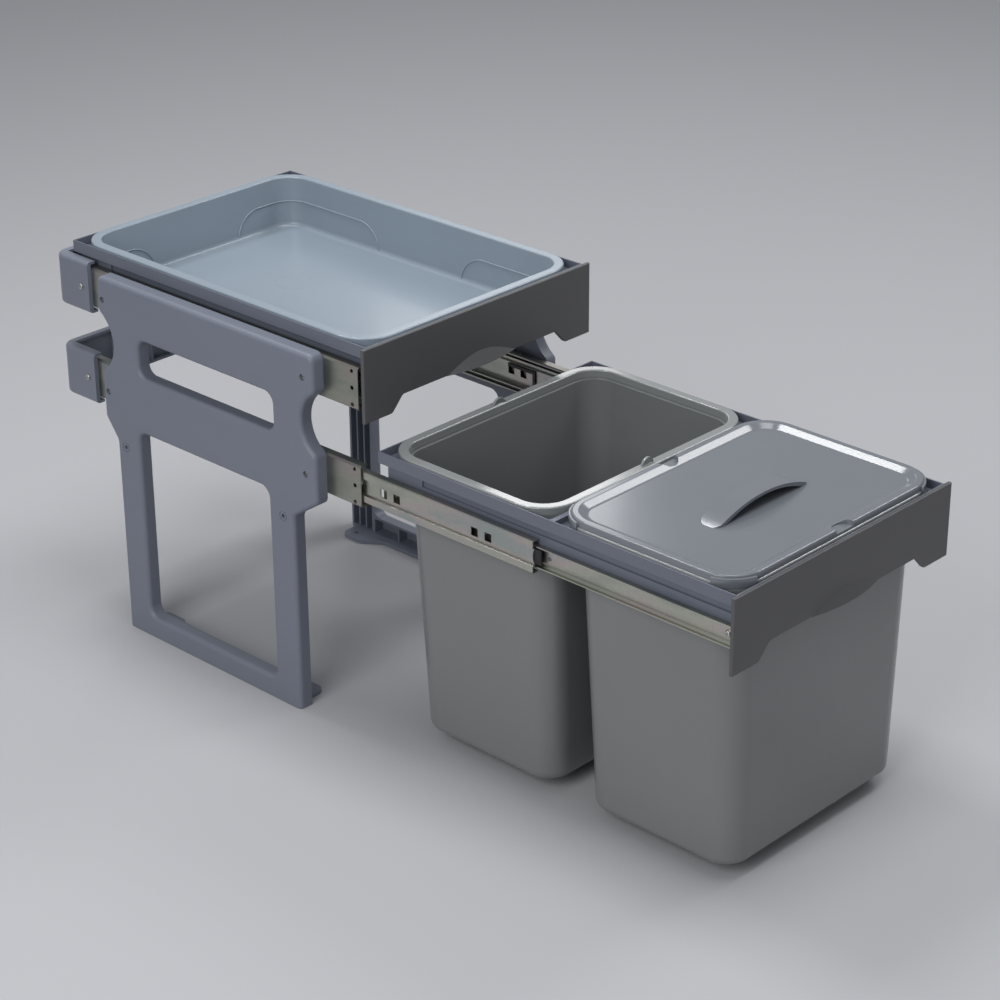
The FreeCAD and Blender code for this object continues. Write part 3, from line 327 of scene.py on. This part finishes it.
def fit_screws(node, body):
    """Copies of the pan screw in place of a CAD node's plain screws."""
    copies = []
    for side, across, up, face, tip in screw_seats(node):
        only(pan_screw)
        bpy.ops.object.duplicate()
        copy = bpy.context.object
        pick_faces(copy, lambda centre: centre.z < TOUCH - HEAD_HEIGHT - SHANK_LENGTH)
        bpy.ops.transform.translate(value=(0.0, 0.0, HEAD_HEIGHT + SHANK_LENGTH - (face - tip)))
        bpy.ops.object.mode_set(mode="OBJECT")
        copy.rotation_mode = "ZYX"
        copy.rotation_euler = (0.0, side * math.pi / 2, DRIVEN_TURN + DRIVEN_SPREAD * across)
        copy.location = (side * face, across, up)
        bpy.ops.object.transform_apply(location=True, rotation=True)
        copies.append(copy)
    screws = joined(copies, "fitted_" + node, screw_zinc)
    bpy.ops.object.shade_smooth_by_angle(angle=math.radians(32.0))
    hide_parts(node)
    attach(screws, body)


for node in ("panel_screws_left", "panel_screws_right", "crossbar_screws"):
    fit_screws(node, "base")
for tier in TIERS:
    fit_screws(f"{tier}_slide_screws", f"{tier}_drawer")
bpy.data.objects.remove(pan_screw)

# Drawer frames and front panels.
# The frames are a darker blue-grey moulding that hangs between the slides. The fronts are moulded apart in
# a neutral slate grey with a slightly coarser grain, and screwed on from inside the frame.
frame_plastic = moulded_plastic("frame_plastic", (0.132, 0.148, 0.187), 0.34, 0.00006)
dress(frame_plastic, "upper_frame", "lower_frame")
front_plastic = moulded_plastic("front_plastic", (0.090, 0.090, 0.095), 0.42, 0.00014)
dress(front_plastic, "upper_front_panel", "lower_front_panel")

# Tray.
# A shallow moulding in pale blue-grey that lifts out of the upper drawer. A thin raised bead arches over
# each inner corner from floor to floor, and a ring round the moulding gate shows in the floor.
tray_plastic = moulded_plastic("tray_plastic", (0.258, 0.310, 0.364), 0.30, 0.00003, gloss=0.20)
dress(tray_plastic, "tray")
BEAD_RADIUS = 0.0009
BEAD_RISE = 0.030
BEAD_SINK = 0.3 * BEAD_RADIUS
WALL_DRAFT = math.tan(math.radians(3.5))
tray_low, tray_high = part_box("tray")
RIM_TO_WALL = 0.0110
CORNER_ROUND = 0.0290
TRAY_FLOOR = 0.3742
tray_middle = (tray_low + tray_high) / 2
corner_x = tray_high.x - RIM_TO_WALL - CORNER_ROUND
corner_y = tray_high.y - RIM_TO_WALL - CORNER_ROUND


def on_tray_wall(along, rise):
    """Point on the rear right inner corner: along is metres from its middle, below 0 on the rear wall."""
    inset = (tray_high.z - TRAY_FLOOR - rise) * WALL_DRAFT
    radius = CORNER_ROUND - inset - BEAD_SINK
    half_arc = CORNER_ROUND * math.pi / 4
    turn = math.pi / 4 - max(-half_arc, min(half_arc, along)) / CORNER_ROUND
    spot = Vector((corner_x + radius * math.cos(turn), corner_y + radius * math.sin(turn), TRAY_FLOOR + rise))
    if along < -half_arc:
        spot.x += along + half_arc
    elif along > half_arc:
        spot.y -= along - half_arc
    return spot


REAR_END = -0.077
SIDE_END = 0.142
SHOULDER = 0.032
TURN_STEPS = 16
TOP_STEPS = 24
path = []
for step in range(TURN_STEPS + 1):
    angle = math.pi / 2 * step / TURN_STEPS
    path.append(on_tray_wall(REAR_END + SHOULDER * (1.0 - math.cos(angle)), BEAD_RISE * math.sin(angle)))
for step in range(1, TOP_STEPS):
    top_length = SIDE_END - REAR_END - 2 * SHOULDER
    path.append(on_tray_wall(REAR_END + SHOULDER + top_length * step / TOP_STEPS, BEAD_RISE))
for step in range(TURN_STEPS + 1):
    angle = math.pi / 2 * (1.0 - step / TURN_STEPS)
    path.append(on_tray_wall(SIDE_END - SHOULDER * (1.0 - math.cos(angle)), BEAD_RISE * math.sin(angle)))
line = bpy.data.curves.new("corner_bead", "CURVE")
line.dimensions = "3D"
line.bevel_depth = BEAD_RADIUS
line.bevel_resolution = 3
line.use_fill_caps = True
spline = line.splines.new("POLY")
spline.points.add(len(path) - 1)
for point, spot in zip(spline.points, path):
    point.co = (*spot, 1.0)
first_bead = bpy.data.objects.new("corner_bead", line)
bpy.context.scene.collection.objects.link(first_bead)
only(first_bead)
bpy.ops.object.convert(target="MESH")


def four_corners(first, middle):
    """A corner piece and its mirror copies about a middle, each with its own mesh."""
    corners = [first]
    for mirror_x, mirror_y in ((-1.0, 1.0), (1.0, -1.0), (-1.0, -1.0)):
        only(first)
        bpy.ops.object.duplicate()
        bpy.ops.object.mode_set(mode="EDIT")
        bpy.ops.mesh.select_all(action="SELECT")
        bpy.ops.transform.resize(value=(mirror_x, mirror_y, 1.0), center_override=middle)
        bpy.ops.mesh.normals_make_consistent(inside=False)
        bpy.ops.object.mode_set(mode="OBJECT")
        corners.append(bpy.context.object)
    return corners


beads = four_corners(first_bead, tray_middle)
GATE_AT = (0.012, 0.058)
GATE_RADIUS = 0.021
GATE_RISE = 0.0014
GATE_LINE = 0.0003
bpy.ops.curve.primitive_bezier_circle_add(radius=GATE_RADIUS, location=(*GATE_AT, TRAY_FLOOR + GATE_RISE))
gate_ring = bpy.context.object
gate_ring.data.bevel_depth = GATE_LINE
gate_ring.data.bevel_resolution = 2
bpy.ops.object.convert(target="MESH")
bpy.ops.object.transform_apply(location=True)
beads.append(gate_ring)
tray_beads = joined(beads, "tray_beads", tray_plastic)
bpy.ops.object.shade_smooth()
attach(tray_beads, "tray")

# Bins.
# Deep tapered buckets moulded in a mid grey, glossier than the frames, with faint upright flow lines from
# the gate in the floor and a polished rim, whose colour is painted lighter as a painted highlight. The rear
# one carries a half-round ear amid each long rim.
UPRIGHT_FLOW = (30.0, 30.0, 2.0)
RIM_LINE = 0.3195
# rim=RIM_LINE paints the rims and ears lighter above that height, a painted highlight.
bin_plastic = moulded_plastic(
    "bin_plastic", (0.184, 0.193, 0.194), 0.25, 0.00003, UPRIGHT_FLOW,
    flow_share=0.12, gloss=0.25, rim=RIM_LINE)
dress(bin_plastic, "rear_bin", "front_bin")
EAR_RADIUS = 0.0085
EAR_THICK = 0.0026
EAR_SINK = 0.0012
EAR_OFFSET = 0.004
EAR_WEB = 0.0014
EAR_DRAFT = 0.0003
EAR_DISH = 0.0006
REAR_EAR_IN = 0.0082
FRONT_EAR_IN = 0.0060
bin_low, bin_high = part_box("rear_bin")


def soften(piece, width):
    """Round off the sharp edges of the active piece and smooth its shading."""
    soft = piece.modifiers.new("soft_edges", "BEVEL")
    soft.width = width
    soft.segments = 2
    soft.angle_limit = math.radians(40.0)
    bpy.ops.object.modifier_apply(modifier=soft.name)
    bpy.ops.object.shade_smooth_by_angle(angle=math.radians(35.0))


ears = []
for ear_x, ear_y in ((EAR_OFFSET, bin_high.y - REAR_EAR_IN), (-EAR_OFFSET, bin_low.y + FRONT_EAR_IN)):
    bpy.ops.object.select_all(action="DESELECT")
    bpy.ops.mesh.primitive_cylinder_add(
        vertices=40, radius=EAR_RADIUS, depth=EAR_THICK, rotation=(math.pi / 2, 0.0, 0.0),
        location=(ear_x, ear_y, bin_high.z - EAR_SINK))
    ear = bpy.context.object
    bpy.ops.object.transform_apply(location=True, rotation=True)
    bpy.ops.object.mode_set(mode="EDIT")
    bpy.ops.mesh.select_all(action="SELECT")
    bpy.ops.mesh.bisect(
        plane_co=(ear_x, ear_y, bin_high.z - EAR_SINK), plane_no=(0.0, 0.0, 1.0),
        use_fill=True, clear_inner=True)
    pick_faces(ear, lambda centre: abs(abs(centre.y - ear_y) - EAR_THICK / 2) < TOUCH)
    bpy.ops.mesh.inset(thickness=EAR_WEB, use_individual=True)
    bpy.ops.mesh.inset(thickness=EAR_DRAFT, depth=-EAR_DISH, use_individual=True)
    bpy.ops.object.mode_set(mode="OBJECT")
    soften(ear, EAR_DRAFT)
    ears.append(ear)
rim_ears = joined(ears, "rim_ears", bin_plastic)
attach(rim_ears, "rear_bin")

# Lid.
# A thin polished moulding that drops into the mouth of the front bin. Its tool was finer than the bins',
# so that its slopes and arched handle show clear highlights. A short skirt laps each corner of the bin's rim.
lid_plastic = moulded_plastic("lid_plastic", (0.168, 0.183, 0.206), 0.18, 0.00002, gloss=0.35)
dress(lid_plastic, "front_bin_lid")
RIM_ROUND = 0.0400
SKIRT_GAP = 0.0003
SKIRT_THICK = 0.0010
SKIRT_DROP = 0.0050
SHELF_LAP = 0.0030
SHELF_LOW = 0.0004
SHELF_HIGH = 0.0046
SKIRT_EDGE = 0.0004
SKIRT_STEPS = 20
SKIRT_START = math.radians(14.0)
mouth_low, mouth_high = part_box("front_bin")
corner = Vector((mouth_high.x - RIM_ROUND, mouth_high.y - RIM_ROUND, mouth_high.z))
outward = Vector((math.cos(SKIRT_START), math.sin(SKIRT_START), 0.0))
skirt_inside = RIM_ROUND + SKIRT_GAP
shelf_width = SHELF_LAP + SKIRT_GAP + SKIRT_THICK
shelf_middle = corner + outward * (RIM_ROUND - SHELF_LAP + shelf_width / 2)
shelf_middle.z += (SHELF_LOW + SHELF_HIGH) / 2
bpy.ops.object.select_all(action="DESELECT")
bpy.ops.mesh.primitive_plane_add(size=1.0, rotation=(math.pi / 2, 0.0, SKIRT_START), location=shelf_middle)
first_skirt = bpy.context.object
first_skirt.scale = (shelf_width, SHELF_HIGH - SHELF_LOW, 1.0)
bpy.ops.object.transform_apply(location=True, rotation=True, scale=True)
bpy.ops.object.mode_set(mode="EDIT")
bpy.ops.mesh.select_all(action="SELECT")
bpy.ops.mesh.bisect(plane_co=corner + outward * skirt_inside, plane_no=outward)
bpy.ops.mesh.select_mode(type="EDGE")
bpy.ops.mesh.select_all(action="DESELECT")
bpy.ops.object.mode_set(mode="OBJECT")
for edge in first_skirt.data.edges:
    ends = [first_skirt.data.vertices[index].co - corner for index in edge.vertices]
    edge.select = all(end.dot(outward) > skirt_inside - TOUCH and end.z < SHELF_LOW + TOUCH for end in ends)
bpy.ops.object.mode_set(mode="EDIT")
bpy.ops.mesh.extrude_region_move(TRANSFORM_OT_translate={"value": (0.0, 0.0, -SKIRT_DROP - SHELF_LOW)})
bpy.ops.mesh.select_all(action="SELECT")
bpy.ops.mesh.spin(steps=SKIRT_STEPS, angle=2 * SKIRT_START - math.pi / 2, center=corner, axis=(0.0, 0.0, 1.0))
bpy.ops.mesh.select_all(action="SELECT")
bpy.ops.mesh.normals_make_consistent(inside=False)
bpy.ops.object.mode_set(mode="OBJECT")
soften(first_skirt, SKIRT_EDGE)
skirts = four_corners(first_skirt, (mouth_low + mouth_high) / 2)
lid_skirts = joined(skirts, "lid_skirts", lid_plastic)
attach(lid_skirts, "lid")

# Floor, light and camera.
# A plain pale floor under soft studio lamps, with the camera at the photograph's angle. The key lamp stands
# to the left and a broad one hangs overhead; one at the right and two behind draw the glossy edges.
FLOOR_SIZE = 40.0
FLOOR_DROP = 0.0006
bpy.ops.object.select_all(action="DESELECT")
bpy.ops.mesh.primitive_plane_add(size=FLOOR_SIZE, location=(0.0, 0.0, -FLOOR_DROP))
floor = bpy.context.object
floor.name = "floor"
floor_paint, wire, shader = new_material("floor_paint")
feed(wire, shader, Base_Color=(0.46, 0.46, 0.48, 1.0), Roughness=0.7)
floor.data.materials.append(floor_paint)

world = bpy.data.worlds.new("studio")
bpy.context.scene.world = world
world.use_nodes = True
backdrop = world.node_tree.nodes["Background"]
backdrop.inputs["Color"].default_value = (0.80, 0.82, 0.86, 1.0)
backdrop.inputs["Strength"].default_value = 0.38


def softbox(name, place, target, width, power):
    """Square area lamp that looks at a point."""
    lamp = bpy.data.lights.new(name, "AREA")
    lamp.size = width
    lamp.energy = power
    holder = bpy.data.objects.new(name, lamp)
    bpy.context.scene.collection.objects.link(holder)
    aim = Vector(target) - Vector(place)
    holder.matrix_world = Matrix.Translation(place) @ aim.to_track_quat("-Z", "Y").to_matrix().to_4x4()


softbox("key_softbox", (-2.4, -0.8, 1.7), (0.0, -0.25, 0.25), 1.6, 34.0)
softbox("top_softbox", (0.1, -0.7, 3.0), (0.0, -0.3, 0.2), 1.4, 26.0)
softbox("edge_softbox", (0.0, 0.72, 2.4), (0.0, -0.3, 0.3), 0.7, 20.0)
softbox("right_softbox", (2.1, -0.8, 2.4), (0.0, -0.4, 0.3), 0.9, 18.0)
softbox("far_softbox", (1.85, 1.5, 1.6), (0.0, -0.3, 0.33), 0.5, 2.2)

LENS_MM = 97.006
CAMERA_AT = (-1.8251, -1.9914, 1.4244)
AZIMUTH = math.radians(-46.507)
ELEVATION = math.radians(25.568)
ROLL = math.radians(-0.308)
ahead = Vector((-math.sin(AZIMUTH) * math.cos(ELEVATION),
                math.cos(AZIMUTH) * math.cos(ELEVATION),
                -math.sin(ELEVATION)))
level_right = ahead.cross(Vector((0.0, 0.0, 1.0))).normalized()
level_up = level_right.cross(ahead)
right = level_right * math.cos(ROLL) + level_up * math.sin(ROLL)
up = level_up * math.cos(ROLL) - level_right * math.sin(ROLL)
lens = bpy.data.cameras.new("camera")
lens.lens = LENS_MM
lens.sensor_width = 36.0
lens.sensor_fit = "HORIZONTAL"
lens.clip_end = 60.0
camera = bpy.data.objects.new("camera", lens)
bpy.context.scene.collection.objects.link(camera)
camera.matrix_world = Matrix.Translation(CAMERA_AT) @ Matrix((right, up, -ahead)).transposed().to_4x4()
bpy.context.scene.camera = camera
bpy.context.scene.view_settings.view_transform = "Standard"
